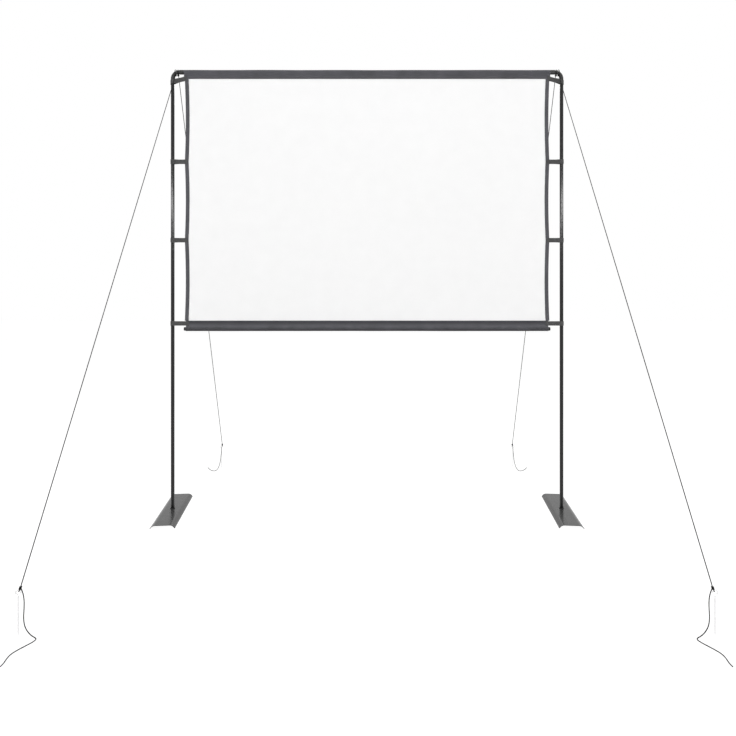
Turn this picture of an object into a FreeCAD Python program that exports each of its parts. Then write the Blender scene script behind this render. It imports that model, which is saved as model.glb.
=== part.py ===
import FreeCAD, Part
import math
import os

# Portable projection screen on a knock-down tube frame, with guy lines and pegs.
# Millimetres. X runs along the screen, the viewer is on the -Y side, Z is up.
# The origin is on the ground, halfway between the two poles.

# Frame tubes
pole_spacing = 1944.0        # between the two pole axes
bar_height = 2196.0          # axis of the top bar above the ground
tube_diameter = 18.0
tube_wall = 1.0
sections_per_tube = 3        # each pole and each bar comes apart into this many lengths
swage_length = 50.0          # narrowed end that plugs into the next length
swage_taper = 3.0            # shoulder between the full and the narrowed diameter
slip_gap = 0.08              # radial room of a spigot in a bore
running_gap = 0.3            # room between pieces that move past each other

# Feet
foot_length = 500.0
foot_width = 115.0
foot_height = 16.0           # top of the plate above the ground
foot_sheet = 2.5
foot_roll_run = 24.0         # width of the rolled edge on each side
foot_toe_angle = 5.7         # degrees, the front ends turn towards the middle
foot_spigot_length = 60.0
foot_flange_diameter = 23.0
foot_flange_thickness = 3.0
bolt_diameter = 8.0
bolt_head_width = 13.0       # across the flats
bolt_head_height = 5.3
bolt_grip = 25.0             # thread length inside the spigot
bolt_end_room = 1.0          # between the bolt's end and the bottom of its hole

# Corner elbows, as thick as the tube, with a wider socket for the bar
elbow_bend_radius = 32.0     # to the centre line
elbow_bend_steps = 8
elbow_sides = 20             # the elbow is faceted outside
elbow_stub = 4.0             # straight part on top of the pole
elbow_spigot_length = 45.0
elbow_socket_diameter = 22.5
elbow_socket_length = 23.0
elbow_socket_depth = 20.0    # how far the bar goes in
elbow_socket_bevel = 3.0     # where the socket rises from the bend

# Screen fabric
panel_height = 1208.5        # the white area, between the two sleeves
panel_thickness = 0.6
panel_tuck = 8.0             # sewn into each sleeve
top_band = 33.5              # from the top bar's axis down to the white area
bottom_band = 41.0           # from the white area down to the bottom bar's axis
border_gap = 60.5            # from the pole axis to the hem's outer edge at a strap
hem_width = 19.0
hem_scallop = 5.0            # how far the hem curves in between two straps
hem_tuck = 8.5               # panel edge inside the side hem, at its least
border_thickness = 2.0       # hem, and flat band of a sleeve
fabric = 0.8                 # wall of a sleeve
wrap_sides = 12              # flats of a sleeve or strap where it goes round a tube
sleeve_gap = 0.4             # room between a sleeve and its bar
sleeve_reach = 15.0          # from the bar axis to where the sleeve's two walls meet
sleeve_end_gap = 1.5         # between the top sleeve and the mouth of an elbow
bottom_sleeve_inset = 6.0    # from the hem's outer edge to the end of the bottom sleeve

# Bottom bar
bar_end_room = 48.5          # between an end cap and the pole beside it
cap_thickness = 2.0
cap_plug_length = 15.0

# Straps
strap_width = 22.0
strap_thickness = 1.5
strap_drops = [414.0, 806.0]  # of the middle straps, below the top of the white area
bottom_strap_drop = 13.5     # of the lowest strap, below the white area
corner_strap_drop = 15.0     # of the slanted strap, from the border down to the pole
strap_overlap = 14.0         # length sewn on to the border
strap_meet = 32.0            # from the pole axis to where the strap's two layers meet
strap_layer_gap = 0.2        # between the two layers
strap_grip = 6.0             # where the two layers part again to take the border

# Guy lines and pegs
rope_diameter = 3.0
rope_sides = 6               # the rope is faceted
tail_step = 9.0              # between two corners of a free rope end
eye_sides = 12
knot_diameter = 9.0
knot_length = 12.0
knot_end = 0.6               # width of a knot's ends, as a share of its middle
rope_gap = 0.3               # room between a rope eye and what it goes round
front_eye_turn = 64.0        # degrees, of the eye round the elbow's bend from the pole
rear_eye_turn = 82.0
front_eye_slack = 2.6        # more room for an eye that lies across the bend
rear_eye_slack = 0.8
front_peg = (1096.5, -1223.0)
rear_peg = (913.0, 839.0)
peg_wire = 4.0
peg_wire_sides = 8           # of the bent part, which is faceted
peg_bend_step = 20.0         # degrees, between two of its corners
peg_ring_radius = 8.0        # to the centre of the wire
peg_ring_height = 137.0      # centre of the ring above the ground
peg_bend_radius = 8.0        # where the shaft turns into the ring
peg_ring_end = -20.0         # degrees, free end of the ring
peg_eye_angle = 55.0         # degrees, where the rope holds the ring
peg_point = 10.0
peg_tip = 1.0                # width of the blunted tip
peg_lift = 0.2               # of the point off the ground
rope_lift = 0.1              # of a lying rope off the ground

# Free rope ends, on the right-hand side, from the knot to the bare end
lie = rope_diameter / 2 + rope_lift
front_tail_route = [
    (1089.5, -1218.0, 147.0), (1085.0, -1215.0, 131.0), (1082.0, -1214.0, 108.0),
    (1082.0, -1215.0, 80.0), (1083.0, -1217.0, 52.0), (1079.0, -1217.0, 26.0),
    (1068.0, -1217.0, 8.0), (1052.0, -1226.0, lie), (1027.0, -1243.0, lie),
    (1030.0, -1262.0, lie), (1040.0, -1283.0, lie), (1052.0, -1308.0, lie),
    (1061.0, -1333.0, lie), (1059.0, -1360.0, lie), (1054.0, -1383.0, lie),
    (1055.0, -1401.0, lie),
]
rear_tail_route = [
    (909.0, 834.5, 149.0), (911.5, 831.5, 132.0), (915.0, 830.5, 106.0),
    (919.0, 829.5, 80.0), (922.0, 827.0, 54.0), (928.0, 824.0, 29.0),
    (936.0, 818.0, 10.0), (942.0, 806.0, lie), (944.0, 790.0, lie),
    (952.0, 779.0, lie), (965.0, 779.0, lie), (974.0, 789.0, lie),
    (981.0, 806.0, lie), (990.0, 824.0, lie), (997.0, 843.0, lie),
    (1005.0, 861.0, lie),
]

# Worked out from the above
pole_x = pole_spacing / 2
tube_radius = tube_diameter / 2
bore_radius = tube_radius - tube_wall
spigot_radius = bore_radius - slip_gap
foot_top = foot_height + foot_flange_thickness
pole_bottom = foot_top + running_gap
pole_top = bar_height - elbow_bend_radius - elbow_stub
pole_section = (pole_top - pole_bottom) / sections_per_tube
bend_x = pole_x - elbow_bend_radius
bend_z = bar_height - elbow_bend_radius
socket_mouth = bend_x - elbow_socket_length
top_bar_half = socket_mouth + elbow_socket_depth
top_sleeve_half = socket_mouth - sleeve_end_gap
bottom_tube_half = pole_x - tube_radius - bar_end_room - cap_thickness
panel_top = bar_height - top_band
panel_bottom = panel_top - panel_height
bottom_bar_height = panel_bottom - bottom_band
hem_outer = pole_x - border_gap
panel_half = hem_outer - hem_scallop - hem_tuck
bottom_sleeve_half = hem_outer - bottom_sleeve_inset
sleeve_radius = tube_radius + sleeve_gap + fabric
rope_radius = rope_diameter / 2
knot_radius = knot_diameter / 2

X_AXIS = FreeCAD.Vector(1, 0, 0)
Y_AXIS = FreeCAD.Vector(0, 1, 0)
Z_AXIS = FreeCAD.Vector(0, 0, 1)
ORIGIN = FreeCAD.Vector(0, 0, 0)
SIDES = (("left", -1), ("right", 1))

os.makedirs("parts", exist_ok=True)


def vec(x, y, z):
    return FreeCAD.Vector(x, y, z)


def save(name, shape):
    """Write one piece as its own file."""
    shape.exportStep("parts/" + name + ".step")


def save_sides(name, shape):
    """Write a right-hand piece and its mirror image."""
    for side, sign in SIDES:
        piece = shape if sign > 0 else shape.mirror(ORIGIN, X_AXIS)
        save(side + "_" + name, piece)


def polygon_face(points):
    return Part.Face(Part.makePolygon(points + points[:1]))


def turned(profile):
    """Solid of revolution about Z from (radius, height) points."""
    face = polygon_face([vec(radius, 0, height) for radius, height in profile])
    return face.revolve(ORIGIN, Z_AXIS, 360)


def box(x_range, y_range, z_range):
    low = vec(x_range[0], y_range[0], z_range[0])
    sizes = [top - bottom for bottom, top in (x_range, y_range, z_range)]
    return Part.makeBox(sizes[0], sizes[1], sizes[2], low)


def tube_section(length, swaged):
    """A length of tube along Z; a swaged one ends in a spigot for the next length."""
    if not swaged:
        return turned([(bore_radius, 0), (tube_radius, 0), (tube_radius, length), (bore_radius, length)])
    spigot_bore = spigot_radius - tube_wall
    return turned([
        (bore_radius, 0),
        (tube_radius, 0),
        (tube_radius, length - swage_taper),
        (spigot_radius, length),
        (spigot_radius, length + swage_length),
        (spigot_bore, length + swage_length),
        (spigot_bore, length),
        (bore_radius, length - swage_taper),
    ])


def along_x(shape, start, height):
    """Lay a piece that was made along Z on a bar's axis."""
    laid = shape.copy()
    laid.rotate(ORIGIN, Y_AXIS, 90)
    laid.translate(vec(start, 0, height))
    return laid


def make_poles():
    for index in range(sections_per_tube):
        section = tube_section(pole_section, index < sections_per_tube - 1)
        section.translate(vec(pole_x, 0, pole_bottom + index * pole_section))
        save_sides("pole_section_%d" % (index + 1), section)


def make_bar(name, half, height):
    length = 2 * half / sections_per_tube
    for index in range(sections_per_tube):
        section = tube_section(length, index < sections_per_tube - 1)
        save("%s_section_%d" % (name, index + 1), along_x(section, index * length - half, height))


def make_end_caps():
    cap = turned([
        (0, 0),
        (spigot_radius, 0),
        (spigot_radius, cap_plug_length),
        (tube_radius, cap_plug_length),
        (tube_radius, cap_plug_length + cap_thickness),
        (0, cap_plug_length + cap_thickness),
    ])
    save_sides("bottom_bar_cap", along_x(cap, bottom_tube_half - cap_plug_length, bottom_bar_height))


def place_foot(shape):
    """Turn a foot piece to its toe angle under the right-hand pole."""
    placed = shape.copy()
    placed.rotate(ORIGIN, Z_AXIS, -foot_toe_angle)
    placed.translate(vec(pole_x, 0, 0))
    return placed


def arch_face(inset):
    """Outline of the rolled plate down to the ground, drawn in by a distance all round."""
    flat = foot_width / 2 - foot_roll_run
    height = foot_height - inset
    outer_radius = (foot_roll_run ** 2 + foot_height ** 2) / (2 * foot_height)
    radius = outer_radius - inset
    centre = foot_height - outer_radius
    ground = flat + math.sqrt(radius ** 2 - centre ** 2)
    middle_angle = (math.pi / 2 + math.atan2(-centre, ground - flat)) / 2
    middle_x = flat + radius * math.cos(middle_angle)
    middle_z = centre + radius * math.sin(middle_angle)
    right = Part.Arc(vec(flat, 0, height), vec(middle_x, 0, middle_z), vec(ground, 0, 0))
    left = Part.Arc(vec(-ground, 0, 0), vec(-middle_x, 0, middle_z), vec(-flat, 0, height))
    top = Part.LineSegment(vec(-flat, 0, height), vec(flat, 0, height))
    bottom = Part.LineSegment(vec(ground, 0, 0), vec(-ground, 0, 0))
    return Part.Face(Part.Wire([top.toShape(), right.toShape(), bottom.toShape(), left.toShape()]))


def make_feet():
    outer = arch_face(0).extrude(vec(0, foot_length, 0))
    inner = arch_face(foot_sheet).extrude(vec(0, foot_length, 0))
    plate = outer.cut(inner)
    plate.translate(vec(0, -foot_length / 2, 0))
    hole_radius = bolt_diameter / 2 + slip_gap
    hole = Part.makeCylinder(hole_radius, foot_height)
    save_sides("foot_plate", place_foot(plate.cut(hole)))

    flange_radius = foot_flange_diameter / 2
    spigot_top = foot_top + foot_spigot_length
    hole_top = foot_height + bolt_grip + bolt_end_room
    spigot = turned([
        (hole_radius, foot_height),
        (flange_radius, foot_height),
        (flange_radius, foot_top),
        (spigot_radius, foot_top),
        (spigot_radius, spigot_top),
        (0, spigot_top),
        (0, hole_top),
        (hole_radius, hole_top),
    ])
    save_sides("foot_spigot", place_foot(spigot))

    head_top = foot_height - foot_sheet
    head = regular_polygon(vec(0, 0, head_top), Z_AXIS, bolt_head_width / math.sqrt(3), 6)
    head = polygon_face(head).extrude(vec(0, 0, -bolt_head_height))
    shank = Part.makeCylinder(bolt_diameter / 2, foot_sheet + bolt_grip, vec(0, 0, head_top))
    save_sides("foot_bolt", place_foot(head.fuse(shank).removeSplitter()))


def bend_place(turn):
    """Point on the right-hand elbow's bend and its direction there, by radians from the pole."""
    spoke = vec(math.cos(turn), 0, math.sin(turn))
    way = vec(-math.sin(turn), 0, math.cos(turn))
    return vec(bend_x, 0, bend_z) + spoke * elbow_bend_radius, way


def make_elbows():
    """Bend with a short stub on the pole and a socket for the bar; a spigot goes down into the pole."""
    socket_radius = elbow_socket_diameter / 2
    rings = [regular_polygon(vec(pole_x, 0, pole_top), Z_AXIS, tube_radius, elbow_sides)]
    for step in range(elbow_bend_steps + 1):
        centre, way = bend_place(math.pi / 2 * step / elbow_bend_steps)
        rings.append(regular_polygon(centre, way, tube_radius, elbow_sides))
    for x in (bend_x - elbow_socket_bevel, socket_mouth):
        rings.append(regular_polygon(vec(x, 0, bar_height), -X_AXIS, socket_radius, elbow_sides))
    spigot_bottom = pole_top - elbow_spigot_length
    spigot = Part.makeCylinder(spigot_radius, elbow_spigot_length, vec(pole_x, 0, spigot_bottom))
    bore_start = vec(socket_mouth, 0, bar_height)
    bore = Part.makeCylinder(tube_radius + slip_gap, elbow_socket_depth, bore_start, X_AXIS)
    save_sides("corner_elbow", faceted(rings, False).fuse(spigot).cut(bore))


def teardrop(radius, half_band, apex, band_end, depth):
    """A sheet round a bar at the origin, drawn together along +X to a flat band, extruded along Z."""
    touch = math.atan2(half_band, apex) + math.acos(radius / math.hypot(half_band, apex))
    half_side = (math.pi - touch) / wrap_sides
    corner_radius = radius / math.cos(half_side)
    turns = [touch + half_side * (2 * index + 1) for index in range(wrap_sides)]
    outline = [vec(corner_radius * math.cos(t), corner_radius * math.sin(t), 0) for t in turns]
    outline += [vec(apex, -half_band, 0)]
    if band_end > apex:
        outline += [vec(band_end, -half_band, 0), vec(band_end, half_band, 0)]
    if half_band > 0:
        outline += [vec(apex, half_band, 0)]
    return polygon_face(outline).extrude(vec(0, 0, depth))


def panel_pocket():
    """The panel with a little room all round, to cut its place in the borders."""
    thickness = panel_thickness / 2 + slip_gap
    width = panel_half + slip_gap
    tuck = panel_tuck + slip_gap
    return box((-width, width), (-thickness, thickness), (panel_bottom - tuck, panel_top + tuck))


def make_sleeve(name, half, axis_height, edge_height):
    """Fabric tube along a bar, with the panel's edge sewn into its flat band."""
    band_end = abs(edge_height - axis_height)
    outer = teardrop(sleeve_radius, border_thickness / 2, sleeve_reach, band_end, 2 * half)
    inner = teardrop(sleeve_radius - fabric, 0, sleeve_reach - 2 * fabric, 0, 2 * half)
    sleeve = outer.cut(inner)
    sleeve.translate(vec(0, 0, -half))
    sleeve.rotate(ORIGIN, Y_AXIS, -90 if edge_height > axis_height else 90)
    sleeve.translate(vec(0, 0, axis_height))
    save(name, sleeve.cut(panel_pocket()))


def make_panel():
    thickness = panel_thickness / 2
    z_range = (panel_bottom - panel_tuck, panel_top + panel_tuck)
    save("screen_panel", box((-panel_half, panel_half), (-thickness, thickness), z_range))


def scalloped_edge(x, stations):
    """Arcs that curve towards the middle of the screen between the straps."""
    edges = []
    for low, high in zip(stations, stations[1:]):
        middle = vec(x - hem_scallop, 0, (low + high) / 2)
        edges.append(Part.Arc(vec(x, 0, low), middle, vec(x, 0, high)).toShape())
    return edges


def make_hems():
    stations = [panel_bottom] + sorted(panel_top - drop for drop in strap_drops) + [panel_top]
    inner = hem_outer - hem_width
    edges = scalloped_edge(hem_outer, stations) + scalloped_edge(inner, stations)
    for height in (panel_bottom, panel_top):
        edges.append(Part.LineSegment(vec(inner, 0, height), vec(hem_outer, 0, height)).toShape())
    face = Part.Face(Part.Wire(Part.__sortEdges__(edges)))
    hem = face.extrude(vec(0, border_thickness, 0))
    hem.translate(vec(0, -border_thickness / 2, 0))
    save_sides("side_hem", hem.cut(panel_pocket()))


def strap_prism(border_edge, bottom, height):
    """Webbing drawn round the right-hand pole, with two ends that hold a border's edge."""
    loop_radius = tube_radius + running_gap
    reach = pole_x - border_edge
    neck = strap_thickness + strap_layer_gap / 2
    pocket_half = border_thickness / 2 + slip_gap
    grip_half = pocket_half + strap_thickness
    grip_start = reach - strap_thickness - strap_grip
    outer = teardrop(loop_radius + strap_thickness, neck, strap_meet, reach - strap_thickness, height)
    inner = teardrop(loop_radius, 0, strap_meet - 2 * strap_thickness, 0, height)
    profile = [(grip_start, neck), (reach - strap_thickness, grip_half), (reach + strap_overlap, grip_half)]
    outline = [vec(x, y, 0) for x, y in profile] + [vec(x, -y, 0) for x, y in reversed(profile)]
    grip = polygon_face(outline).extrude(vec(0, 0, height))
    pocket_range = (reach - slip_gap, reach + 2 * strap_overlap)
    pocket = box(pocket_range, (-pocket_half, pocket_half), (0, height))
    strap = outer.fuse(grip).cut(inner).cut(pocket).removeSplitter()
    strap.rotate(ORIGIN, Z_AXIS, 180)
    strap.translate(vec(pole_x, 0, bottom))
    return strap


def make_straps():
    """Straps are numbered from the top; the first one slants."""
    slope = corner_strap_drop / (pole_x - top_sleeve_half)
    ends = [top_sleeve_half - 2 * strap_overlap, pole_x + tube_diameter]
    lower = [panel_top - corner_strap_drop + (pole_x - x) * slope - strap_width / 2 for x in ends]
    slant = polygon_face([
        vec(ends[0], 0, lower[0]),
        vec(ends[1], 0, lower[1]),
        vec(ends[1], 0, lower[1] + strap_width),
        vec(ends[0], 0, lower[0] + strap_width),
    ])
    slab = slant.extrude(vec(0, 4 * tube_diameter, 0))
    slab.translate(vec(0, -2 * tube_diameter, 0))
    bottom = min(lower)
    height = max(lower) + strap_width - bottom
    save_sides("strap_1", strap_prism(top_sleeve_half, bottom, height).common(slab))
    places = [(hem_outer, panel_top - drop) for drop in strap_drops]
    places.append((bottom_sleeve_half, panel_bottom - bottom_strap_drop))
    for index, (edge, centre) in enumerate(places):
        strap = strap_prism(edge, centre - strap_width / 2, strap_width)
        save_sides("strap_%d" % (index + 2), strap)


def regular_polygon(centre, normal, radius, sides):
    """Corners of a regular polygon, in order round its normal."""
    across = normal.cross(Y_AXIS if abs(normal.y) < normal.Length / 2 else X_AXIS).normalize()
    up = normal.cross(across).normalize()
    turns = [2 * math.pi * index / sides for index in range(sides)]
    return [centre + across * (radius * math.cos(t)) + up * (radius * math.sin(t)) for t in turns]


def faceted(rings, closed):
    """Solid skinned with flat faces over rings of corners; closed rings form a loop."""
    pairs = list(zip(rings, rings[1:] + rings[:1])) if closed else list(zip(rings, rings[1:]))
    faces = []
    for near, far in pairs:
        for index in range(len(near)):
            after = (index + 1) % len(near)
            faces.append(polygon_face([near[index], near[after], far[after], far[index]]))
    if not closed:
        faces += [polygon_face(rings[0]), polygon_face(rings[-1])]
    solid = Part.makeSolid(Part.makeShell(faces))
    solid.fixTolerance(1e-5)
    return solid if solid.Volume > 0 else solid.reversed()


def rope_eye(centre, normal, hold_radius):
    """Rope ring round a bar or wire of a radius, with a little room."""
    half_side = math.pi / eye_sides
    ring_radius = (hold_radius + rope_gap + rope_radius) / math.cos(half_side)
    spokes = [corner - centre for corner in regular_polygon(centre, normal, 1, eye_sides)]
    axis = normal * (1 / normal.Length)
    rings = []
    for spoke in spokes:
        turns = [2 * math.pi * index / rope_sides for index in range(rope_sides)]
        rings.append([
            centre + spoke * (ring_radius + rope_radius * math.cos(t)) + axis * (rope_radius * math.sin(t))
            for t in turns
        ])
    return faceted(rings, True)


def rope_knot(centre, along):
    """Barrel-shaped lump of rope."""
    stations = [(-0.5, knot_end), (-0.2, 1), (0.2, 1), (0.5, knot_end)]
    rings = [
        regular_polygon(centre + along * (knot_length * place), along, knot_radius * width, rope_sides)
        for place, width in stations
    ]
    return faceted(rings, False)


def ring_point(angle):
    """A point on the peg's ring, from the ring's centre."""
    turn = math.radians(angle)
    return vec(peg_ring_radius * math.cos(turn), 0, peg_ring_radius * math.sin(turn))


def make_peg(name, place):
    """Bent wire: a pointed shaft that turns outwards into a ring."""
    rise = math.sqrt(peg_ring_radius ** 2 + 2 * peg_ring_radius * peg_bend_radius)
    bend_height = peg_ring_height - rise
    join_angle = -math.degrees(math.atan2(rise, peg_bend_radius))
    end_angle = 180 - peg_ring_end
    wire = peg_wire / 2
    rings = []
    bend_steps = round(-join_angle / peg_bend_step)
    for step in range(bend_steps):
        turn = math.radians(-join_angle * step / bend_steps)
        centre = vec(peg_bend_radius * (1 - math.cos(turn)), 0, bend_height + peg_bend_radius * math.sin(turn))
        rings.append(regular_polygon(centre, vec(math.sin(turn), 0, math.cos(turn)), wire, peg_wire_sides))
    ring_steps = round((end_angle - join_angle) / peg_bend_step)
    for step in range(ring_steps + 1):
        angle = join_angle + (end_angle - join_angle) * step / ring_steps
        centre = vec(0, 0, peg_ring_height) + ring_point(angle)
        rings.append(regular_polygon(centre, ring_point(angle + 90), wire, peg_wire_sides))
    shaft_bottom = peg_lift + peg_point
    shaft = Part.makeCylinder(wire, bend_height - shaft_bottom, vec(0, 0, shaft_bottom))
    point = Part.makeCone(peg_tip / 2, wire, peg_point, vec(0, 0, peg_lift))
    peg = shaft.fuse([point, faceted(rings, False)])
    peg.translate(vec(place[0], place[1], 0))
    save_sides(name, peg)


def make_guy_line(name, eye_turn, eye_slack, peg_place):
    """Taut rope between an eye round the elbow's bend and an eye round the peg's ring."""
    anchor, bend_way = bend_place(math.radians(eye_turn))
    hook_angle = 180 - peg_eye_angle
    hook = vec(peg_place[0], peg_place[1], peg_ring_height) + ring_point(hook_angle)
    along = (hook - anchor).normalize()
    wire_radius = peg_wire / 2
    top_normal = (bend_way - along * bend_way.dot(along)).normalize()
    eye_radius = tube_radius / math.sin(along.getAngle(bend_way)) + eye_slack
    low_normal = ring_point(hook_angle + 90).normalize()
    lean = math.sin(along.getAngle(low_normal))
    top_knot = anchor + along * (eye_radius + knot_length / 2)
    low_knot = hook - along * ((wire_radius + rope_gap + knot_length / 2) / lean)
    span = low_knot - top_knot
    line = polygon_face(regular_polygon(top_knot, along, rope_radius, rope_sides)).extrude(span)
    rope = line.fuse([
        rope_knot(top_knot, along),
        rope_knot(low_knot, along),
        rope_eye(anchor, top_normal, eye_radius),
        rope_eye(hook, low_normal, wire_radius),
    ])
    print("%s: %.1f mm between the knots" % (name, span.Length))
    save_sides(name, rope)
    return rope


def rope_path(points):
    """Straight runs joined by tangent arcs, as large as the runs allow."""
    edges = []
    start = points[0]
    for before, corner, after in zip(points, points[1:], points[2:]):
        into = (corner - before).normalize()
        out = (after - corner).normalize()
        half_turn = into.getAngle(out) / 2
        trim = 0.45 * min((corner - before).Length, (after - corner).Length)
        radius = trim / math.tan(half_turn)
        bisector = (out - into).normalize()
        first = corner - into * trim
        last = corner + out * trim
        middle = corner + bisector * (radius / math.cos(half_turn) - radius)
        edges.append(Part.LineSegment(start, first).toShape())
        edges.append(Part.Arc(first, middle, last).toShape())
        start = last
    edges.append(Part.LineSegment(start, points[-1]).toShape())
    return Part.Wire(edges)


def mitred_rope(places):
    """Rope of short straight pieces between places, with mitred corners."""
    ways = [(after - before).normalize() for before, after in zip(places, places[1:])]
    corners = regular_polygon(places[0], ways[0], rope_radius, rope_sides)
    rings = [corners]
    for way, onward, centre in zip(ways, ways[1:] + ways[-1:], places[1:]):
        mitre = way + onward
        corners = [corner + way * ((centre - corner).dot(mitre) / way.dot(mitre)) for corner in corners]
        rings.append(corners)
    return faceted(rings, False)


def make_tail(name, route, line):
    """Free rope end that hangs from the knot at the peg and lies on the ground."""
    path = rope_path([vec(x, y, z) for x, y, z in route])
    print("%s: %.1f mm long" % (name, path.Length))
    rope = mitred_rope(path.discretize(Number=round(path.Length / tail_step) + 1))
    save_sides(name, rope.cut(line))


make_poles()
make_bar("top_bar", top_bar_half, bar_height)
make_bar("bottom_bar", bottom_tube_half, bottom_bar_height)
make_end_caps()
make_feet()
make_elbows()
make_panel()
make_sleeve("top_sleeve", top_sleeve_half, bar_height, panel_top)
make_sleeve("bottom_sleeve", bottom_sleeve_half, bottom_bar_height, panel_bottom)
make_hems()
make_straps()
make_peg("front_peg", front_peg)
make_peg("rear_peg", rear_peg)
front_line = make_guy_line("front_guy_line", front_eye_turn, front_eye_slack, front_peg)
rear_line = make_guy_line("rear_guy_line", rear_eye_turn, rear_eye_slack, rear_peg)
make_tail("front_guy_tail", front_tail_route, front_line)
make_tail("rear_guy_tail", rear_tail_route, rear_line)
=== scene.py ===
import bmesh
import bpy
import math
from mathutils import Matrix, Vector


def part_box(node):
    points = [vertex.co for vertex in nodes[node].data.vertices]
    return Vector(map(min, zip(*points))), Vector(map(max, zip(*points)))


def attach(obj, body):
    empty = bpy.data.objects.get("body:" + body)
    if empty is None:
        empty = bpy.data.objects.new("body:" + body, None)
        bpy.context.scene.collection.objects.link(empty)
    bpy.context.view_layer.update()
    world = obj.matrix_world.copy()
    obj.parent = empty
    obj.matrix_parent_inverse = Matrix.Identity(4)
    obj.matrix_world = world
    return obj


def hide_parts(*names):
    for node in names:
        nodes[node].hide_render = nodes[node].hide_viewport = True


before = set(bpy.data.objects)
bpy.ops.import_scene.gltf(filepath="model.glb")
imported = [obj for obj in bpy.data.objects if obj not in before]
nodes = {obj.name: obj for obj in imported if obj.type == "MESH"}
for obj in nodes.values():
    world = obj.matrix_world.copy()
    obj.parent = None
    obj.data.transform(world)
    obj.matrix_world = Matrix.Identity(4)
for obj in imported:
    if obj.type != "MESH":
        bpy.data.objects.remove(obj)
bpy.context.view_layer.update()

# Camera, from the photograph's horizon and the screen's size in the picture
camera_place = (0.0045, -3.3, 1.0575)
focal_pixels = 660.0
picture_pixels = 736.0
horizon_above_centre = 68.0
sensor_width = 36.0
view_reach = 100.0

# Rope
rope_diameter = 0.003
rope_step = 0.002            # between two rings of the braid
rope_sides = 8
braid_rise = 0.14            # of the strands over the rope's own radius, as a share of it
bare_end = 0.6               # width of a cut end, as a share of the rope's
rope_gap = 0.0003            # round what a rope eye holds
route_steps = 30             # of the smooth curve, between two points of a route
straight_run = 6             # rope diameters that a taut line runs straight from its knot
eye_steps = 24
eye_spread = 0.5             # of the eye's two legs at the knot, as a share of the rope's radius
knot_turns = 3
knot_steps = 14              # in one turn
front_eye_turn = 64.0        # degrees, of the eye round the elbow's bend from the pole
rear_eye_turn = 82.0
front_eye_slack = 0.0026     # more room for an eye that lies across the bend
rear_eye_slack = 0.0008

# Pegs
peg_wire = 0.004
peg_sides = 14
peg_bend_steps = 10
peg_ring_steps = 48
peg_bend_radius = 0.008      # where the shaft turns into the ring
peg_ring_radius = 0.008
peg_ring_height = 0.137
peg_ring_end = -20.0         # degrees, free end of the ring
peg_eye_angle = 55.0         # degrees, where the rope holds the ring
peg_point = 0.010
peg_tip = 0.001              # width of the blunted tip

# Corner elbows
elbow_bend_radius = 0.032
elbow_sides = 48
elbow_bend_steps = 18
elbow_rise_steps = 6
elbow_socket_radius = 0.01125
elbow_socket_bevel = 0.003   # where the socket rises from the bend
elbow_socket_depth = 0.020
elbow_bore_gap = 0.00015     # round the end of the top bar
elbow_rounding = 0.0008      # of its edges
rounding_middle = 0.3        # how far in the middle of a rounded edge lies, as a share of its radius

# Free rope ends, on the right-hand side, from the knot to the bare end
lie = 0.0016                 # height of the rope's middle where it lies on the ground
front_tail_route = [
    (1.0895, -1.2180, 0.147), (1.0850, -1.2150, 0.131), (1.0820, -1.2140, 0.108),
    (1.0820, -1.2150, 0.080), (1.0830, -1.2170, 0.052), (1.0790, -1.2170, 0.026),
    (1.0680, -1.2170, 0.008), (1.0520, -1.2260, lie), (1.0270, -1.2430, lie),
    (1.0300, -1.2620, lie), (1.0400, -1.2830, lie), (1.0520, -1.3080, lie),
    (1.0610, -1.3330, lie), (1.0590, -1.3600, lie), (1.0540, -1.3830, lie),
    (1.0550, -1.4010, lie),
]
rear_tail_route = [
    (0.9090, 0.8345, 0.149), (0.9115, 0.8315, 0.132), (0.9130, 0.8305, 0.106),
    (0.9160, 0.8295, 0.080), (0.9180, 0.8270, 0.054), (0.9230, 0.8240, 0.029),
    (0.9290, 0.8170, 0.010), (0.9350, 0.8030, lie), (0.9370, 0.7850, lie),
    (0.9460, 0.7765, lie), (0.9600, 0.7840, lie), (0.9710, 0.7970, lie),
    (0.9790, 0.8100, lie), (0.9890, 0.8260, lie), (0.9970, 0.8430, lie),
    (1.0050, 0.8610, lie),
]

# Screen fabric
panel_thickness = 0.0006
panel_columns = 120
panel_rows = 80
ripple_height = 0.0016       # how far the stretched fabric stands out of its plane
border_thickness = 0.002     # hem, and flat band of a sleeve
border_cloth = 0.0007        # one layer of it
hem_width = 0.019
hem_steps = 220
hem_fold_steps = 6
hem_flat = 0.4               # where the hem keeps its thickness between its puckers, as a share of its width
hem_scallop = 0.005          # how far the hem curves in between two straps
pucker = 0.00012             # height, from the pull of the stitches
pucker_pitch = 0.011
pucker_depth = 0.004         # of a sleeve's puckers, from its edge
tube_radius = 0.009
wrap_steps = 28              # of a sheet round a bar
sleeve_gap = 0.00045         # room between a sleeve and its bar
sleeve_reach = 0.015         # from the bar axis to where the sleeve's two walls meet
sleeve_swell = 0.0014        # height of the sleeve's soft creases
sleeve_step = 0.008
fold_height = 0.0024         # how far a sleeve's flat band bulges between its two seams
fold_margin = 0.005          # to the bulge, from the band's edge and from where the walls meet
fold_steps = 8
fold_fade = 0.08             # length at each end over which the bulge dies away
fold_flat = 0.3              # share of that length, at the very end, without a bulge

# Straps
strap_thickness = 0.0015
strap_gap = 0.0003           # round the pole
strap_layer_gap = 0.0002
strap_meet = 0.032           # from the pole axis to where the strap's two layers meet
strap_grip = 0.006           # length over which the two layers part to take the border
strap_grip_gap = 0.0001      # between a layer and the border
strap_overlap = 0.014        # length sewn on to the border
strap_width = 0.022
strap_stations = (-1.0, -0.94, -0.5, 0.0, 0.5, 0.94, 1.0)  # across it, as shares of half its width

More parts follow.
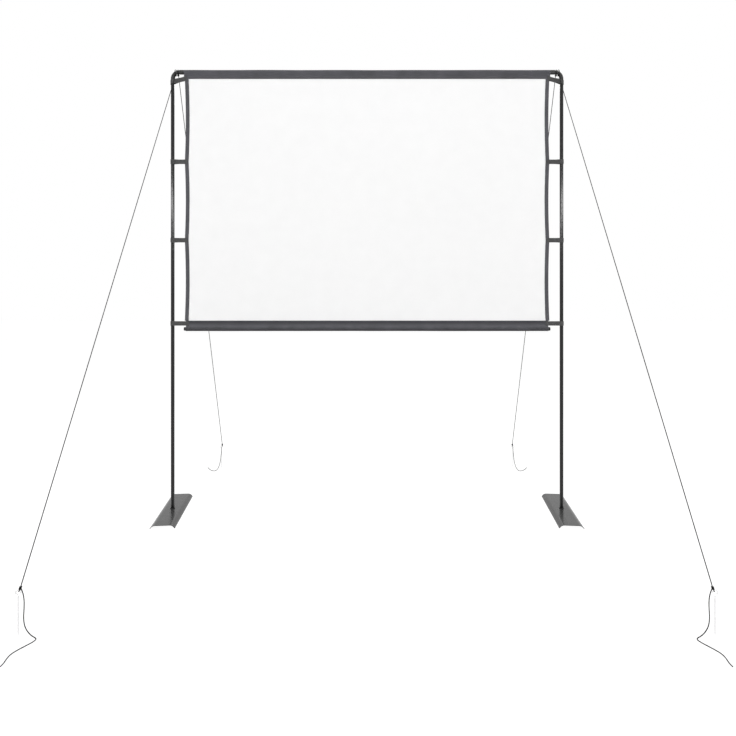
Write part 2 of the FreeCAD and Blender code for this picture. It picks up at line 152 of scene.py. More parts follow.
# Stitches
stitch_pitch = 0.0042
stitch_length = 0.0032
stitch_width = 0.0005
stitch_margin = 0.002        # from the end of a sleeve, or the edge of a strap
hem_stitch_outer = 0.004     # from the hem's outer edge
hem_stitch_inner = 0.003     # from its inner edge
sleeve_stitch_edge = 0.0025  # from the edge of a sleeve's band
sleeve_stitch_bar = 0.0035   # from where a sleeve's two walls meet

# Edges of a piece, sharp from this angle between two faces on
sharp_angle = 50.0           # degrees

# Painted shade and painted light on the bottom sleeve: its colour is darker towards its two edges and
# lighter along its middle, standing in for how the light falls across the cloth
painted_middle_light = 1.2             # of its colour, along its middle
painted_edge_darkness = 0.62            # of its colour, at its edges
painted_shade_reach = 0.36      # from the middle to the full shade, as a share of the sleeve's height
painted_shade_wander = 0.006          # how far the line between the two strays up and down

# Cloth in the materials
weave_shade = 0.25           # how much the weave shows in a cloth's colour
wave_bands = 20              # of a wave texture at scale 1, in 2 pi metres

# Left and right, with the sign of X there
SIDES = (("left", -1), ("right", 1))


def middle(node):
    """Centre of a CAD node's box."""
    low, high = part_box(node)
    return (low + high) / 2


pole_x = middle("right_pole_section_1").x
bar_height = middle("top_bar_section_1").z
pole_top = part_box("right_pole_section_3")[1].z
bend_centre = Vector((pole_x - elbow_bend_radius, 0, bar_height - elbow_bend_radius))
socket_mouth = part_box("right_corner_elbow")[0].x
rope_radius = rope_diameter / 2


# Materials
def node_material(name, colour, roughness, metallic=0.0, specular=0.5):
    """A material with one main shader; returns it with its node tree and that shader."""
    material = bpy.data.materials.new(name)
    material.use_nodes = True
    tree = material.node_tree
    shader = tree.nodes["Principled BSDF"]
    shader.inputs["Base Color"].default_value = (*colour, 1)
    shader.inputs["Roughness"].default_value = roughness
    shader.inputs["Metallic"].default_value = metallic
    shader.inputs["Specular IOR Level"].default_value = specular
    return material, tree, shader


def texture(tree, kind, scale, **settings):
    """A texture node in object space, its scale per metre."""
    place = tree.nodes.new("ShaderNodeTexCoord")
    pattern = tree.nodes.new("ShaderNodeTex" + kind)
    pattern.inputs["Scale"].default_value = scale
    for name, value in settings.items():
        if name in pattern.inputs:
            pattern.inputs[name].default_value = value
        else:
            setattr(pattern, name, value)
    tree.links.new(place.outputs["Object"], pattern.inputs["Vector"])
    return pattern


def ramp(tree, source, low, high, low_at=0.3, high_at=0.7):
    """Spread a texture's value between two colours."""
    node = tree.nodes.new("ShaderNodeValToRGB")
    node.color_ramp.elements[0].position = low_at
    node.color_ramp.elements[0].color = (*low, 1)
    node.color_ramp.elements[1].position = high_at
    node.color_ramp.elements[1].color = (*high, 1)
    tree.links.new(source, node.inputs["Fac"])
    return node.outputs["Color"]


def bump(tree, shader, source, height, strength):
    """Raise the surface by a texture, height in metres."""
    node = tree.nodes.new("ShaderNodeBump")
    node.inputs["Distance"].default_value = height
    node.inputs["Strength"].default_value = strength
    tree.links.new(source, node.inputs["Height"])
    tree.links.new(node.outputs["Normal"], shader.inputs["Normal"])


def maths(tree, operation, *values):
    """A node that works with numbers and with other nodes' values."""
    node = tree.nodes.new("ShaderNodeMath")
    node.operation = operation
    for socket, value in zip(node.inputs, values):
        if isinstance(value, bpy.types.NodeSocket):
            tree.links.new(value, socket)
        else:
            socket.default_value = value
    return node.outputs["Value"]


def grey(value):
    """A colour without a tint."""
    return (value, value, value)


def coated(name, dark, light, rough_low, rough_high, grain, specular, height):
    """Paint or moulded plastic: a fine grain, with slow changes of shade and gloss."""
    material, tree, shader = node_material(name, light, rough_high, specular=specular)
    cloud = texture(tree, "Noise", scale=9.0, Detail=4.0)
    tree.links.new(ramp(tree, cloud.outputs["Fac"], dark, light), shader.inputs["Base Color"])
    patches = texture(tree, "Noise", scale=40.0, Detail=6.0)
    gloss = ramp(tree, patches.outputs["Fac"], grey(rough_low), grey(rough_high))
    tree.links.new(gloss, shader.inputs["Roughness"])
    fine = texture(tree, "Noise", scale=grain, Detail=2.0)
    bump(tree, shader, fine.outputs["Fac"], height=height, strength=0.04)
    return material


rope_cloth, tree, shader = node_material("rope", grey(0.02), roughness=0.85, specular=0.1)
flecks = texture(tree, "Noise", scale=700.0, Detail=3.0)
rope_colour = ramp(tree, flecks.outputs["Fac"], grey(0.010), grey(0.026))
tree.links.new(rope_colour, shader.inputs["Base Color"])
fibres = texture(tree, "Wave", scale=500.0, bands_direction="DIAGONAL", Distortion=2.0)
bump(tree, shader, fibres.outputs["Fac"], height=0.0002, strength=0.4)

black_tube = coated("black_tube", dark=grey(0.004), light=grey(0.006), rough_low=0.14, rough_high=0.16,
                    grain=420.0, specular=0.36, height=0.00001)
black_plastic = coated("black_plastic", dark=grey(0.016), light=grey(0.028), rough_low=0.42, rough_high=0.55,
                       grain=1400.0, specular=0.35, height=0.0001)
foot_paint = coated("foot_paint", dark=grey(0.038), light=grey(0.047), rough_low=0.22, rough_high=0.28,
                    grain=380.0, specular=0.22, height=0.00002)

bare_steel, tree, shader = node_material("bare_steel", grey(0.45), roughness=0.35, metallic=0.9)
streaks = texture(tree, "Noise", scale=160.0, Detail=6.0)
steel_colour = ramp(tree, streaks.outputs["Fac"], grey(0.33), grey(0.5))
tree.links.new(steel_colour, shader.inputs["Base Color"])
steel_gloss = ramp(tree, streaks.outputs["Fac"], grey(0.28), grey(0.45))
tree.links.new(steel_gloss, shader.inputs["Roughness"])

peg_steel, tree, shader = node_material("peg_steel", grey(0.8), roughness=0.35, metallic=0.9)
bloom = texture(tree, "Voronoi", scale=300.0)
peg_colour = ramp(tree, bloom.outputs["Distance"], grey(0.72), grey(0.84))
tree.links.new(peg_colour, shader.inputs["Base Color"])
peg_gloss = ramp(tree, bloom.outputs["Distance"], grey(0.3), grey(0.45))
tree.links.new(peg_gloss, shader.inputs["Roughness"])


# Mesh helpers
def add_piece(name, points, faces, material, body, side=1):
    """A new piece from points made on the right-hand side; side -1 mirrors it."""
    mesh = bpy.data.meshes.new(name)
    mesh.from_pydata([(side * p[0], p[1], p[2]) for p in points], [], faces)
    work = bmesh.new()
    work.from_mesh(mesh)
    bmesh.ops.recalc_face_normals(work, faces=work.faces)
    work.to_mesh(mesh)
    work.free()
    mesh.materials.append(material)
    mesh.shade_smooth()
    mesh.set_sharp_from_angle(angle=math.radians(sharp_angle))
    piece = bpy.data.objects.new(name, mesh)
    bpy.context.scene.collection.objects.link(piece)
    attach(piece, body)
    return piece


def skin(rings, ring_closed=True, caps=True):
    """Points and faces over rows of points of equal count."""
    count = len(rings[0])
    points = [point for ring in rings for point in ring]
    faces = []
    columns = count if ring_closed else count - 1
    for row in range(len(rings) - 1):
        near = row * count
        far = near + count
        for column in range(columns):
            beside = (column + 1) % count
            faces.append((near + column, near + beside, far + beside, far + column))
    if caps:
        faces.append(tuple(range(count)))
        faces.append(tuple(range(len(points) - count, len(points))))
    return points, faces


def joined(*parts):
    """Several lots of points and faces as one."""
    points = []
    faces = []
    for part_points, part_faces in parts:
        start = len(points)
        points += part_points
        faces += [tuple(start + index for index in face) for face in part_faces]
    return points, faces


def turned_way(turn):
    """Spoke of a circle in the plane of the screen, and the direction of travel at its end."""
    spoke = Vector((math.cos(turn), 0, math.sin(turn)))
    way = Vector((-math.sin(turn), 0, math.cos(turn)))
    return spoke, way


def round_ring(centre, way, radius, sides):
    """Circle about a line that runs in the plane of the screen."""
    across = Vector((0, 1, 0))
    other = way.cross(across)
    turns = [2 * math.pi * index / sides for index in range(sides)]
    return [centre + across * (radius * math.cos(t)) + other * (radius * math.sin(t)) for t in turns]


# Ropes
def smooth_line(route):
    """Points along the smooth curve that has the route's points as its control points."""
    curve = bpy.data.curves.new("route", "CURVE")
    curve.dimensions = "3D"
    curve.resolution_u = route_steps
    spline = curve.splines.new("NURBS")
    spline.points.add(len(route) - 1)
    for point, place in zip(spline.points, route):
        point.co = (*place, 1)
    spline.order_u = 3
    spline.use_endpoint_u = True
    holder = bpy.data.objects.new("route", curve)
    mesh = bpy.data.meshes.new_from_object(holder)
    line = [vertex.co.copy() for vertex in mesh.vertices]
    bpy.data.objects.remove(holder)
    bpy.data.curves.remove(curve)
    bpy.data.meshes.remove(mesh)
    return line


def evenly(line, step):
    """Points at equal distances along a line of many short pieces."""
    lengths = [(b - a).length for a, b in zip(line, line[1:])]
    count = max(2, round(sum(lengths) / step))
    spacing = sum(lengths) / count
    places = [line[0].copy()]
    travelled = 0.0
    for start, end, length in zip(line, line[1:], lengths):
        while travelled + length >= spacing * len(places) and len(places) < count:
            share = (spacing * len(places) - travelled) / length
            places.append(start.lerp(end, share))
        travelled += length
    return places + [line[-1].copy()]


def rope_tube(line, taper_end=False):
    """Braided tube along a line: neighbouring points of the surface rise and fall by turns."""
    rings = []
    across = None
    for index, place in enumerate(line):
        ahead = line[min(index + 1, len(line) - 1)]
        behind = line[max(index - 1, 0)]
        along = (ahead - behind).normalized()
        if across is None:
            across = along.orthogonal()
        across = (across - along * across.dot(along)).normalized()
        other = along.cross(across)
        end_share = bare_end if taper_end and index == len(line) - 1 else 1.0
        ring = []
        for corner in range(rope_sides):
            turn = 2 * math.pi * corner / rope_sides
            height = 1.0 + braid_rise if (corner + index) % 2 else 1.0
            spoke = across * math.cos(turn) + other * math.sin(turn)
            ring.append(place + spoke * (rope_radius * height * end_share))
        rings.append(ring)
    return skin(rings)


def noose(centre, normal, hold_radius, knot, along):
    """Rope eye round a bar or wire, drawn together into a wound knot."""
    reach = knot - centre
    towards = (reach - normal * reach.dot(normal)).normalized()
    sideways = normal.cross(towards)
    radius = hold_radius + rope_gap + rope_radius
    distance = reach.dot(towards)
    opening = math.acos(min(1.0, radius / distance))
    eye = [knot + sideways * rope_radius * eye_spread]
    for index in range(eye_steps + 1):
        turn = opening + (2 * math.pi - 2 * opening) * index / eye_steps
        eye.append(centre + towards * (radius * math.cos(turn)) + sideways * (radius * math.sin(turn)))
    eye.append(knot - sideways * rope_radius * eye_spread)
    across = along.orthogonal().normalized()
    other = along.cross(across)
    wound = []
    for index in range(knot_steps * knot_turns + 1):
        turn = 2 * math.pi * index / knot_steps
        rise = rope_diameter * (index / knot_steps - knot_turns / 2)
        spoke = across * math.cos(turn) + other * math.sin(turn)
        wound.append(knot + along * rise + spoke * rope_diameter)
    return joined(rope_tube(evenly(eye, rope_step)), rope_tube(evenly(wound, rope_step)))


def hang_guy_line(name, side_name, side, eye_turn, eye_slack, peg_node, tail_route):
    """Taut line from the elbow to a peg, with an eye and a knot at each end, and its free tail."""
    bend_spoke, bend_way = turned_way(math.radians(eye_turn))
    anchor = bend_centre + bend_spoke * elbow_bend_radius
    ring_spoke, wire_way = turned_way(math.radians(180 - peg_eye_angle))
    ring_centre = middle("right_" + peg_node)
    ring_centre.z = peg_ring_height
    hook = ring_centre + ring_spoke * peg_ring_radius
    along = (hook - anchor).normalized()
    knot_half = knot_turns * rope_diameter / 2
    lean = math.sin(along.angle(wire_way))
    eye_radius = tube_radius / math.sin(along.angle(bend_way)) + eye_slack
    top_knot = anchor + along * (eye_radius + rope_gap + knot_half)
    low_knot = hook - along * ((peg_wire / 2 + rope_gap + knot_half) / lean)
    near = along * (straight_run * rope_diameter)
    line = evenly(smooth_line([top_knot, top_knot + near, low_knot - near, low_knot]), rope_step)
    prefix = side_name + "_" + name
    rope = add_piece(prefix + "_rope", *rope_tube(line), rope_cloth, "frame", side)
    top_normal = (bend_way - along * bend_way.dot(along)).normalized()
    top_eye = noose(anchor, top_normal, eye_radius, top_knot, along)
    low_eye = noose(hook, wire_way, peg_wire / 2, low_knot, along)
    top_piece = add_piece(prefix + "_top_eye", *top_eye, rope_cloth, "frame", side)
    low_piece = add_piece(prefix + "_peg_eye", *low_eye, rope_cloth, "frame", side)
    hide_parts(prefix)
    path = [(side * p.x, p.y, p.z) for p in line]
    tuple(path[0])

    tail_line = evenly(smooth_line(tail_route), rope_step)
    tail_name = prefix.replace("line", "tail")
    tail = add_piece(tail_name + "_rope", *rope_tube(tail_line, taper_end=True), rope_cloth, "frame", side)
    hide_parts(tail_name)
    tail_path = [(side * p.x, p.y, p.z) for p in tail_line]
    tail_length = sum((b - a).length for a, b in zip(tail_line, tail_line[1:]))
    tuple(tail_path[0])


for side_name, side in SIDES:
    hang_guy_line("front_guy_line", side_name, side, front_eye_turn, front_eye_slack,
                  "front_peg", front_tail_route)
    hang_guy_line("rear_guy_line", side_name, side, rear_eye_turn, rear_eye_slack,
                  "rear_peg", rear_tail_route)


# Pegs and corner elbows
def make_peg(side_name, side, node):
    """Bent wire: a pointed shaft that turns outwards into a ring."""
    foot = middle("right_" + node)
    foot.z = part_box("right_" + node)[0].z
    ring_centre = Vector((foot.x, foot.y, peg_ring_height))
    rise = math.sqrt(peg_ring_radius ** 2 + 2 * peg_ring_radius * peg_bend_radius)
    bend_middle = Vector((foot.x + peg_bend_radius, foot.y, peg_ring_height - rise))
    join = math.atan2(rise, peg_bend_radius)
    up = Vector((0, 0, 1))
    wire = peg_wire / 2
    rings = [
        round_ring(foot, up, peg_tip / 2, peg_sides),
        round_ring(foot + up * peg_point, up, wire, peg_sides),
    ]
    for step in range(peg_bend_steps):
        spoke, way = turned_way(math.pi - join * step / peg_bend_steps)
        rings.append(round_ring(bend_middle + spoke * peg_bend_radius, -way, wire, peg_sides))
    end = math.radians(180 - peg_ring_end)
    for step in range(peg_ring_steps + 1):
        spoke, way = turned_way(-join + (end + join) * step / peg_ring_steps)
        rings.append(round_ring(ring_centre + spoke * peg_ring_radius, way, wire, peg_sides))
    peg = add_piece("%s_%s_wire" % (side_name, node), *skin(rings), peg_steel, "frame", side)
    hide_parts("%s_%s" % (side_name, node))


def make_elbow(side_name, side):
    """Moulded bend on top of the pole, with a wider socket that takes the end of the top bar."""
    up = Vector((0, 0, 1))
    inwards = Vector((-1, 0, 0))
    foot = Vector((pole_x, 0, pole_top))
    mouth = Vector((socket_mouth, 0, bar_height))
    bend_end = Vector((bend_centre.x, 0, bar_height))
    bore = tube_radius + elbow_bore_gap
    rounded_edge = ((0.0, 1.0), (rounding_middle, rounding_middle), (1.0, 0.0))
    rings = []
    for depth, inset in rounded_edge:
        centre = foot + up * (elbow_rounding * depth)
        rings.append(round_ring(centre, up, tube_radius - elbow_rounding * inset, elbow_sides))
    for step in range(elbow_bend_steps + 1):
        spoke, way = turned_way(math.pi / 2 * step / elbow_bend_steps)
        rings.append(round_ring(bend_centre + spoke * elbow_bend_radius, way, tube_radius, elbow_sides))
    for step in range(1, elbow_rise_steps + 1):
        share = step / elbow_rise_steps
        radius = tube_radius + (elbow_socket_radius - tube_radius) * (1 - math.cos(math.pi * share)) / 2
        centre = bend_end + inwards * (elbow_socket_bevel * share)
        rings.append(round_ring(centre, inwards, radius, elbow_sides))
    for depth, inset in reversed(rounded_edge):
        centre = mouth - inwards * (elbow_rounding * depth)
        rings.append(round_ring(centre, inwards, elbow_socket_radius - elbow_rounding * inset, elbow_sides))
    for depth in (0.0, elbow_socket_depth):
        rings.append(round_ring(mouth - inwards * depth, inwards, bore, elbow_sides))
    elbow = add_piece(side_name + "_elbow_moulding", *skin(rings), black_plastic, "frame", side)
    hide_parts(side_name + "_corner_elbow")


for side_name, side in SIDES:
    make_peg(side_name, side, "front_peg")
    make_peg(side_name, side, "rear_peg")
    make_elbow(side_name, side)


# Fabric
def painted_edge_shade(tree, colour, cloud, low, high):
    """Painted shade and light: darken a cloth's colour towards its lower and upper edge, and lighten it
    along its middle.
    """
    place = tree.nodes.new("ShaderNodeTexCoord")
    axes = tree.nodes.new("ShaderNodeSeparateXYZ")
    tree.links.new(place.outputs["Object"], axes.inputs["Vector"])
    height = maths(tree, "MULTIPLY_ADD", cloud, painted_shade_wander, axes.outputs["Z"])
    off_middle = maths(tree, "SUBTRACT", height, (low + high + painted_shade_wander) / 2)
    shade = tree.nodes.new("ShaderNodeMapRange")
    shade.interpolation_type = "SMOOTHSTEP"
    shade.inputs["From Min"].default_value = 0.0
    shade.inputs["From Max"].default_value = (high - low) * painted_shade_reach
    shade.inputs["To Min"].default_value = painted_middle_light
    shade.inputs["To Max"].default_value = painted_edge_darkness
    tree.links.new(maths(tree, "ABSOLUTE", off_middle), shade.inputs["Value"])
    scaled = tree.nodes.new("ShaderNodeVectorMath")
    scaled.operation = "SCALE"
    tree.links.new(colour, scaled.inputs["Vector"])
    tree.links.new(shade.outputs["Result"], scaled.inputs["Scale"])
    return scaled.outputs["Vector"]


def woven(name, dark, light, threads, roughness, height, sheen, edges=None):
    """Cloth with a plain weave, in threads per metre, and slow changes of shade."""
    material, tree, shader = node_material(name, light, roughness, specular=0.15)
    shader.inputs["Sheen Weight"].default_value = sheen
    shader.inputs["Sheen Roughness"].default_value = 0.6
    cloud = texture(tree, "Noise", scale=14.0, Detail=5.0)
    wave_scale = threads / wave_bands * 2 * math.pi
    weft = texture(tree, "Wave", scale=wave_scale, bands_direction="X", Distortion=0.6)
    warp = texture(tree, "Wave", scale=wave_scale, bands_direction="Z", Distortion=0.6)
    weave = maths(tree, "MULTIPLY", weft.outputs["Fac"], warp.outputs["Fac"])
    blend = maths(tree, "MULTIPLY_ADD", weave, weave_shade, cloud.outputs["Fac"])
    colour = ramp(tree, blend, dark, light, low_at=0.35, high_at=0.85)
    # painted shade towards the two given edge heights, and painted light along the middle
    if edges:
        colour = painted_edge_shade(tree, colour, cloud.outputs["Fac"], *edges)
    tree.links.new(colour, shader.inputs["Base Color"])
    bump(tree, shader, weave, height=height, strength=0.35)
    return material


white_screen = woven("white_screen", dark=grey(0.875), light=grey(0.895), threads=1800.0,
                     roughness=0.85, height=0.0001, sheen=0.0)
border_look = dict(dark=(0.072, 0.072, 0.079), light=(0.100, 0.099, 0.110), threads=1300.0,
                   roughness=0.9, height=0.0002, sheen=0.1)
dark_border = woven("dark_border", **border_look)
sleeve_low, sleeve_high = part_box("bottom_sleeve")
# The border cloth with painted shade at its lower and upper edge and painted light along its middle, for the
# bottom sleeve
painted_shade_border = woven("painted_shade_border", **border_look, edges=(sleeve_low.z, sleeve_high.z))
strap_webbing = woven("strap_webbing", dark=grey(0.058), light=grey(0.083), threads=800.0,
                      roughness=0.8, height=0.0004, sheen=0.1)
thread, tree, shader = node_material("thread", grey(0.10), roughness=0.7, specular=0.2)
twist = texture(tree, "Noise", scale=1500.0, Detail=2.0)
thread_colour = ramp(tree, twist.outputs["Fac"], grey(0.08), grey(0.14))
tree.links.new(thread_colour, shader.inputs["Base Color"])


def folded(stations, path_at, thickness, place):
    """A folded sheet: a line at each station, given a thickness and carried along the stations."""
    rings = []
    for station in stations:
        path = [Vector(point) for point in path_at(station)]
        outer = []
        inner = []
        for index, point in enumerate(path):
            along = path[min(index + 1, len(path) - 1)] - path[max(index - 1, 0)]
            out = Vector((-along.y, along.x)).normalized() * (thickness / 2)
            outer.append(place(station, *(point + out)))
            inner.append(place(station, *(point - out)))
        rings.append(outer + inner[::-1])
    points, faces = skin(rings, caps=False)
    count = len(rings[0])
    for first in (0, len(points) - count):
        last = first + count - 1
        for index in range(count // 2 - 1):
            faces.append((first + index, first + index + 1, last - index - 1, last - index))
    return points, faces


def stitches(line, out):
    """A row of stitches along a line on a surface that faces a direction."""
    rows = []
    places = evenly(line, stitch_pitch)
    for start, end in zip(places, places[1:]):
        centre = (start + end) / 2
        along = (end - start).normalized()
        side = along.cross(out).normalized()
        tips = [centre + along * (end_sign * stitch_length / 2) for end_sign in (-1, 1)]
        belt = [centre + spoke * (stitch_width / 2) for spoke in (side, out, -side, -out)]
        faces = []
        for index in range(len(belt)):
            here = len(tips) + index
            beside = len(tips) + (index + 1) % len(belt)
            faces.append((0, beside, here))
            faces.append((1, here, beside))
        rows.append((tips + belt, faces))
    return joined(*rows)


def arc(centre, radius, start, end, steps):
    """Points of a circular arc in a section, angles in radians."""
    turns = [start + (end - start) * index / steps for index in range(steps + 1)]
    return [(centre[0] + radius * math.cos(t), centre[1] + radius * math.sin(t)) for t in turns]


def drawn_round(radius, meet, half_gap, swell=lambda turn: 0.0):
    """Section of a sheet round a bar at the origin, its two walls meeting further along +x."""
    distance = math.hypot(meet, half_gap)
    touch = math.atan2(half_gap, meet) + math.acos(radius / distance)
    section = []
    for index in range(wrap_steps + 1):
        turn = touch + (2 * math.pi - 2 * touch) * index / wrap_steps
        ease = math.sin(math.pi * index / wrap_steps)
        reach = radius + swell(turn) * ease
        section.append((reach * math.cos(turn), reach * math.sin(turn)))
    return [(meet, half_gap)] + section + [(meet, -half_gap)]


panel_low, panel_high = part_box("screen_panel")
panel_centre = (panel_low + panel_high) / 2
hem_low, hem_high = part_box("right_side_hem")
white_low = hem_low.z
white_high = hem_high.z
hem_outer = hem_high.x


def ripple(x, z):
    """How far the stretched fabric stands out of its plane, by slow and quick waves in radians per metre."""
    across = (x - panel_centre.x) / (panel_high.x - panel_centre.x)
    upward = (z - panel_centre.z) / (panel_high.z - panel_centre.z)
    hold = (1 - across ** 6) * (1 - upward ** 6)
    slow = math.sin(3.1 * x + 1.7 * z) * math.sin(4.3 * z - 0.9 * x + 0.8)
    quick = math.sin(9.0 * x - 2.0 * z + 1.1) * math.sin(6.0 * z + 2.5 * x)
    return ripple_height * hold * (0.7 * slow + 0.3 * quick)


def spread(low, high, count):
    """Count equal steps from one value to another, both ends included."""
    return [low + (high - low) * index / count for index in range(count + 1)]


def make_panel():
    """White fabric, stretched but not quite flat."""
    rows = []
    for z in spread(panel_low.z, panel_high.z, panel_rows):
        rows.append([Vector((x, ripple(x, z), z)) for x in spread(panel_low.x, panel_high.x, panel_columns)])
    points, faces = skin(rings=rows, ring_closed=False, caps=False)
    panel = add_piece("screen_cloth", points, faces, white_screen, "frame")
    thick = panel.modifiers.new("thickness", "SOLIDIFY")
    thick.thickness = panel_thickness
    thick.offset = 0
    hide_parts("screen_panel")
    return panel


def hem_inset(z):
    """How far the scalloped hem stands in from its outermost line."""
    stations = [white_low] + [middle("right_strap_%d" % index).z for index in (3, 2)] + [white_high]
    for low, high in zip(stations, stations[1:]):
        if z <= high:
            share = 2 * (z - low) / (high - low) - 1
            return hem_scallop * (1 - share ** 2)
    return 0.0


def make_hem(side_name, side):
    """Tape folded over the panel's edge, with two rows of stitches on each face."""
    layer = (border_thickness - border_cloth) / 2
    heights = spread(white_low, white_high, hem_steps)

    def path_at(z):
        pull = 1 + pucker / layer * math.sin(2 * math.pi * z / pucker_pitch)
        outer = hem_outer - hem_inset(z) - border_cloth / 2
        inner = hem_outer - hem_inset(z) - hem_width
        half = layer * pull
        front = [(inner, -half), (inner + hem_width * hem_flat, -layer), (outer - 2 * layer, -half)]
        fold = arc((outer - layer, 0), layer, -math.pi / 2, math.pi / 2, hem_fold_steps)
        back = [(x, -y) for x, y in reversed(front)]
        return front + fold + back

    def place(z, x, y):
        return Vector((x, y, z))

    tape = folded(heights, path_at, border_cloth, place)
    hem = add_piece(side_name + "_hem_tape", *tape, dark_border, "frame", side)
    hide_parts(side_name + "_side_hem")
    rows = []
    for inset in (hem_stitch_outer, hem_width - hem_stitch_inner):
        for facing in (-1, 1):
            out = Vector((0, facing, 0))
            surface = facing * border_thickness / 2
            line = [Vector((hem_outer - hem_inset(z) - inset, surface, z)) for z in heights]
            rows.append(stitches(line, out))
    seam = add_piece(side_name + "_hem_stitches", *joined(*rows), thread, "frame", side)
    return [hem, seam]


def make_sleeve(name, bar_node, cloth):
    """Fabric round a bar, its two layers sewn together over the panel's edge."""
    low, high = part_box(name)
    axis = middle(bar_node).z
    towards = 1 if high.z - axis > axis - low.z else -1
    band_end = high.z - axis if towards > 0 else axis - low.z
    layer = (border_thickness - border_cloth) / 2
    radius = tube_radius + sleeve_gap + border_cloth / 2
    fold_length = band_end - sleeve_reach - 2 * fold_margin
    stations = spread(low.x, high.x, round((high.x - low.x) / sleeve_step))

    def path_at(x):
        def crease(turn):
            slow = math.sin(3.0 * turn + 6.0 * x) * math.sin(11.0 * x + 0.7)
            quick = math.sin(5.0 * turn - 17.0 * x)
            return sleeve_swell * (0.5 + 0.3 * slow + 0.2 * quick)

        section = drawn_round(radius, sleeve_reach, layer, crease)
        wave = pucker * math.sin(2 * math.pi * x / pucker_pitch)
        end_share = min(1.0, max(0.0, (high.x - abs(x)) / fold_fade - fold_flat))
        front = [(band_end, layer), (band_end - pucker_depth, layer + wave)]
        for share in spread(0.0, 1.0, fold_steps):
            depth = band_end - fold_margin - fold_length * share
            swing = math.sin(8.0 * x + 5.0 * share) * math.sin(3.0 * x - 2.0 * share + 0.6)
            lift = fold_height * end_share * math.sin(math.pi * share) ** 2 * (0.6 + 0.4 * swing)
            front.append((depth, layer + lift))
        back = [(depth, -width) for depth, width in reversed(front)]
        return front + section + back

    def place(x, depth, y):
        return Vector((x, y, axis + towards * depth))

    sleeve = add_piece(name + "_cloth", *folded(stations, path_at, border_cloth, place), cloth, "frame")
    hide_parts(name)
    rows = []
    seam_places = (low.x + stitch_margin, 0, high.x - stitch_margin)
    for depth in (band_end - sleeve_stitch_edge, sleeve_reach + sleeve_stitch_bar):
        for facing in (-1, 1):
            line = [place(x, depth, facing * border_thickness / 2) for x in seam_places]
            rows.append(stitches(line, Vector((0, facing, 0))))
    seam = add_piece(name + "_stitches", *joined(*rows), thread, "frame")
    return [sleeve, seam]


def make_strap(side_name, side, index):
    """Webbing round the pole, its two ends sewn on to the border."""
    node = "right_strap_%d" % index
    low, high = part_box(node)
    reach = pole_x - low.x - strap_overlap
    centre = (low.z + high.z) / 2
    slope = (high.z - low.z - strap_width) / (high.x - low.x)
    half_gap = (strap_layer_gap + strap_thickness) / 2
    grip_half = border_thickness / 2 + strap_thickness / 2 + strap_grip_gap
    part_end = reach - strap_thickness
    ends = [(reach + strap_overlap, grip_half), (reach + strap_overlap / 2, grip_half),
            (part_end, grip_half), (part_end - strap_grip, half_gap)]
    loop = drawn_round(tube_radius + strap_gap + strap_thickness / 2, strap_meet, half_gap)
    path = ends + loop + [(x, -y) for x, y in reversed(ends)]
    edge = strap_width / 2
    stations = [edge * share for share in strap_stations]
    middle_reach = pole_x - (low.x + high.x) / 2

    def path_at(station):
        """The same line all across the webbing."""
        return path

    def place(station, depth, y):
        return Vector((pole_x - depth, y, centre + station + slope * (depth - middle_reach)))

    webbing = folded(stations, path_at, strap_thickness, place)
    strap = add_piece("%s_strap_%d_webbing" % (side_name, index), *webbing, strap_webbing, "frame", side)
    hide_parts("%s_strap_%d" % (side_name, index))
    rows = []
    sewn_edge = edge - stitch_margin
    sewn_far = reach + strap_overlap - stitch_margin
    sewn_near = reach + stitch_margin
    for facing in (-1, 1):
        out = Vector((0, facing, 0))
        surface = facing * (grip_half + strap_thickness / 2)
        corners = [place(-sewn_edge, sewn_far, surface), place(sewn_edge, sewn_far, surface),
                   place(sewn_edge, sewn_near, surface), place(-sewn_edge, sewn_near, surface)]
        for start, end in zip(corners, corners[1:] + corners[:1]):
            rows.append(stitches([start, end], out))
        rows.append(stitches([corners[0], corners[2]], out))
        rows.append(stitches([corners[1], corners[3]], out))
    seam = add_piece("%s_strap_%d_stitches" % (side_name, index), *joined(*rows), thread, "frame", side)
    return [strap, seam]


panel = make_panel()
borders = make_sleeve("top_sleeve", "top_bar_section_1", dark_border)
# The bottom sleeve's cloth carries painted shade at its edges and painted light along its middle
borders += make_sleeve("bottom_sleeve", "bottom_bar_section_1", painted_shade_border)
for side_name, side in SIDES:
    borders += make_hem(side_name, side)
    for index in (1, 2, 3, 4):
        borders += make_strap(side_name, side, index)


# Materials of the CAD nodes that stay
def dress(word, material):
    """Give a material to every CAD node with a word in its name."""
    for name, node in nodes.items():
        if word in name:
            node.data.materials.clear()
            node.data.materials.append(material)


dress("pole_section", black_tube)
dress("bar_section", black_tube)
dress("bottom_bar_cap", black_plastic)
dress("foot_plate", foot_paint)
dress("foot_spigot", black_plastic)
dress("foot_bolt", bare_steel)


# Camera
camera = bpy.data.cameras.new("camera")
camera.sensor_width = sensor_width
camera.lens = sensor_width * focal_pixels / picture_pixels
camera.shift_y = -horizon_above_centre / picture_pixels
camera.clip_end = view_reach
camera_object = bpy.data.objects.new("camera", camera)
camera_object.location = camera_place
camera_object.rotation_euler = (math.radians(90), 0, 0)
bpy.context.scene.collection.objects.link(camera_object)
bpy.context.scene.camera = camera_object
bpy.context.scene.view_settings.view_transform = "Standard"


# Floor, white to the camera, with a part of it that takes the shadow
floor_half = 30.0
floor_glow = 0.96
shadow_share = 0.2


def seen_or_mirrored(tree):
    """1 for what the camera sees directly, mirrored or through glass, 0 for light on surfaces."""
    path = tree.nodes.new("ShaderNodeLightPath")
    direct = maths(tree, "MAXIMUM", path.outputs["Is Camera Ray"], path.outputs["Is Glossy Ray"])
    return maths(tree, "MAXIMUM", direct, path.outputs["Is Transmission Ray"])


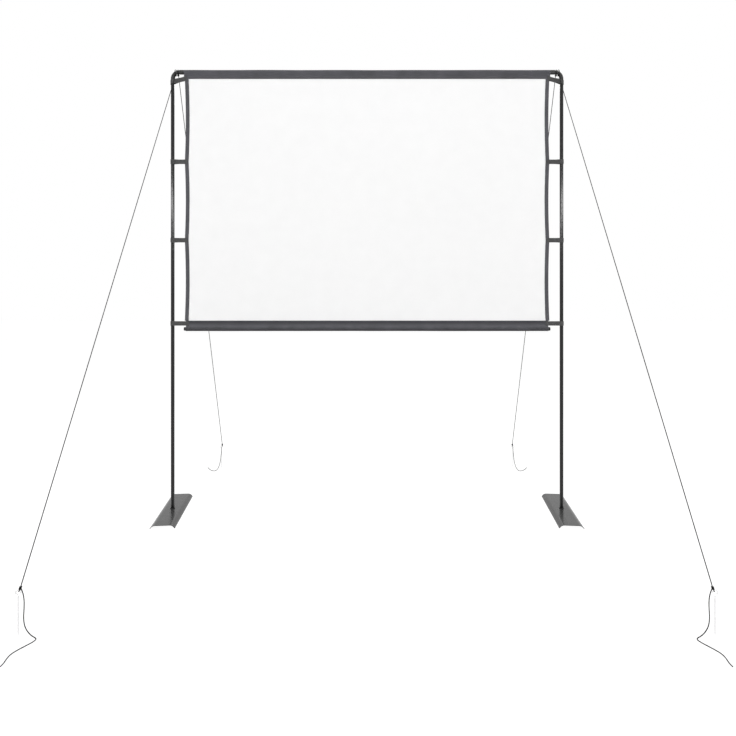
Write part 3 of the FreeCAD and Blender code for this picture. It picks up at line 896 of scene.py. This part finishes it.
floor_mesh = bpy.data.meshes.new("floor")
corners = [(-floor_half, -floor_half, 0), (floor_half, -floor_half, 0),
           (floor_half, floor_half, 0), (-floor_half, floor_half, 0)]
floor_mesh.from_pydata(corners, [], [(0, 1, 2, 3)])
floor = bpy.data.objects.new("floor", floor_mesh)
bpy.context.scene.collection.objects.link(floor)
floor_white, tree, shader = node_material("floor_white", grey(0.9), roughness=1.0, specular=0.0)
glow = tree.nodes.new("ShaderNodeEmission")
glow.inputs["Color"].default_value = (1, 1, 1, 1)
seen = seen_or_mirrored(tree)
tree.links.new(maths(tree, "MULTIPLY", seen, floor_glow), glow.inputs["Strength"])
shaded = tree.nodes.new("ShaderNodeMixShader")
shadow_part = tree.nodes.new("ShaderNodeMapRange")
shadow_part.inputs["To Min"].default_value = 1.0
shadow_part.inputs["To Max"].default_value = shadow_share
tree.links.new(seen, shadow_part.inputs["Value"])
tree.links.new(shadow_part.outputs["Result"], shaded.inputs["Fac"])
added = tree.nodes.new("ShaderNodeAddShader")
tree.links.new(shader.outputs["BSDF"], shaded.inputs[2])
tree.links.new(glow.outputs["Emission"], added.inputs[0])
tree.links.new(shaded.outputs["Shader"], added.inputs[1])
tree.links.new(added.outputs["Shader"], tree.nodes["Material Output"].inputs["Surface"])
floor_mesh.materials.append(floor_white)

# World: white behind the object, softer as light
world_light = 0.24
world = bpy.data.worlds.new("studio")
bpy.context.scene.world = world
world.use_nodes = True
tree = world.node_tree
sky = tree.nodes["Background"]
sky.inputs["Color"].default_value = (1, 1, 1, 1)
level = tree.nodes.new("ShaderNodeMapRange")
level.inputs["To Min"].default_value = world_light
level.inputs["To Max"].default_value = 1.0
tree.links.new(seen_or_mirrored(tree), level.inputs["Value"])
tree.links.new(level.outputs["Result"], sky.inputs["Strength"])


# Lights
def soft_light(name, place, aim, size, power):
    """A flat light that faces a point, its size along and up, its power in watts."""
    light = bpy.data.lights.new(name, "AREA")
    light.shape = "RECTANGLE"
    light.size = size[0]
    light.size_y = size[1]
    light.energy = power
    lamp = bpy.data.objects.new(name, light)
    lamp.location = place
    lamp.rotation_euler = (Vector(aim) - Vector(place)).to_track_quat("-Z", "Y").to_euler()
    bpy.context.scene.collection.objects.link(lamp)


soft_light("strip", place=(0, -3.8, 2.1), aim=(0, 0, 1.3), size=(5.6, 0.3), power=70)
for side_name, side in SIDES:
    soft_light(side_name + "_side", place=(side * 3.6, -2.4, 2.05), aim=(side * 0.8, 0, 1.5),
               size=(1.9, 0.3), power=36)
soft_light("top", place=(0, -0.6, 4.2), aim=(0, 0, 0.8), size=(3.0, 3.0), power=40)
soft_light("rear", place=(0, 4.2, 4.2), aim=(0, 0, 1.3), size=(4.0, 1.6), power=110)
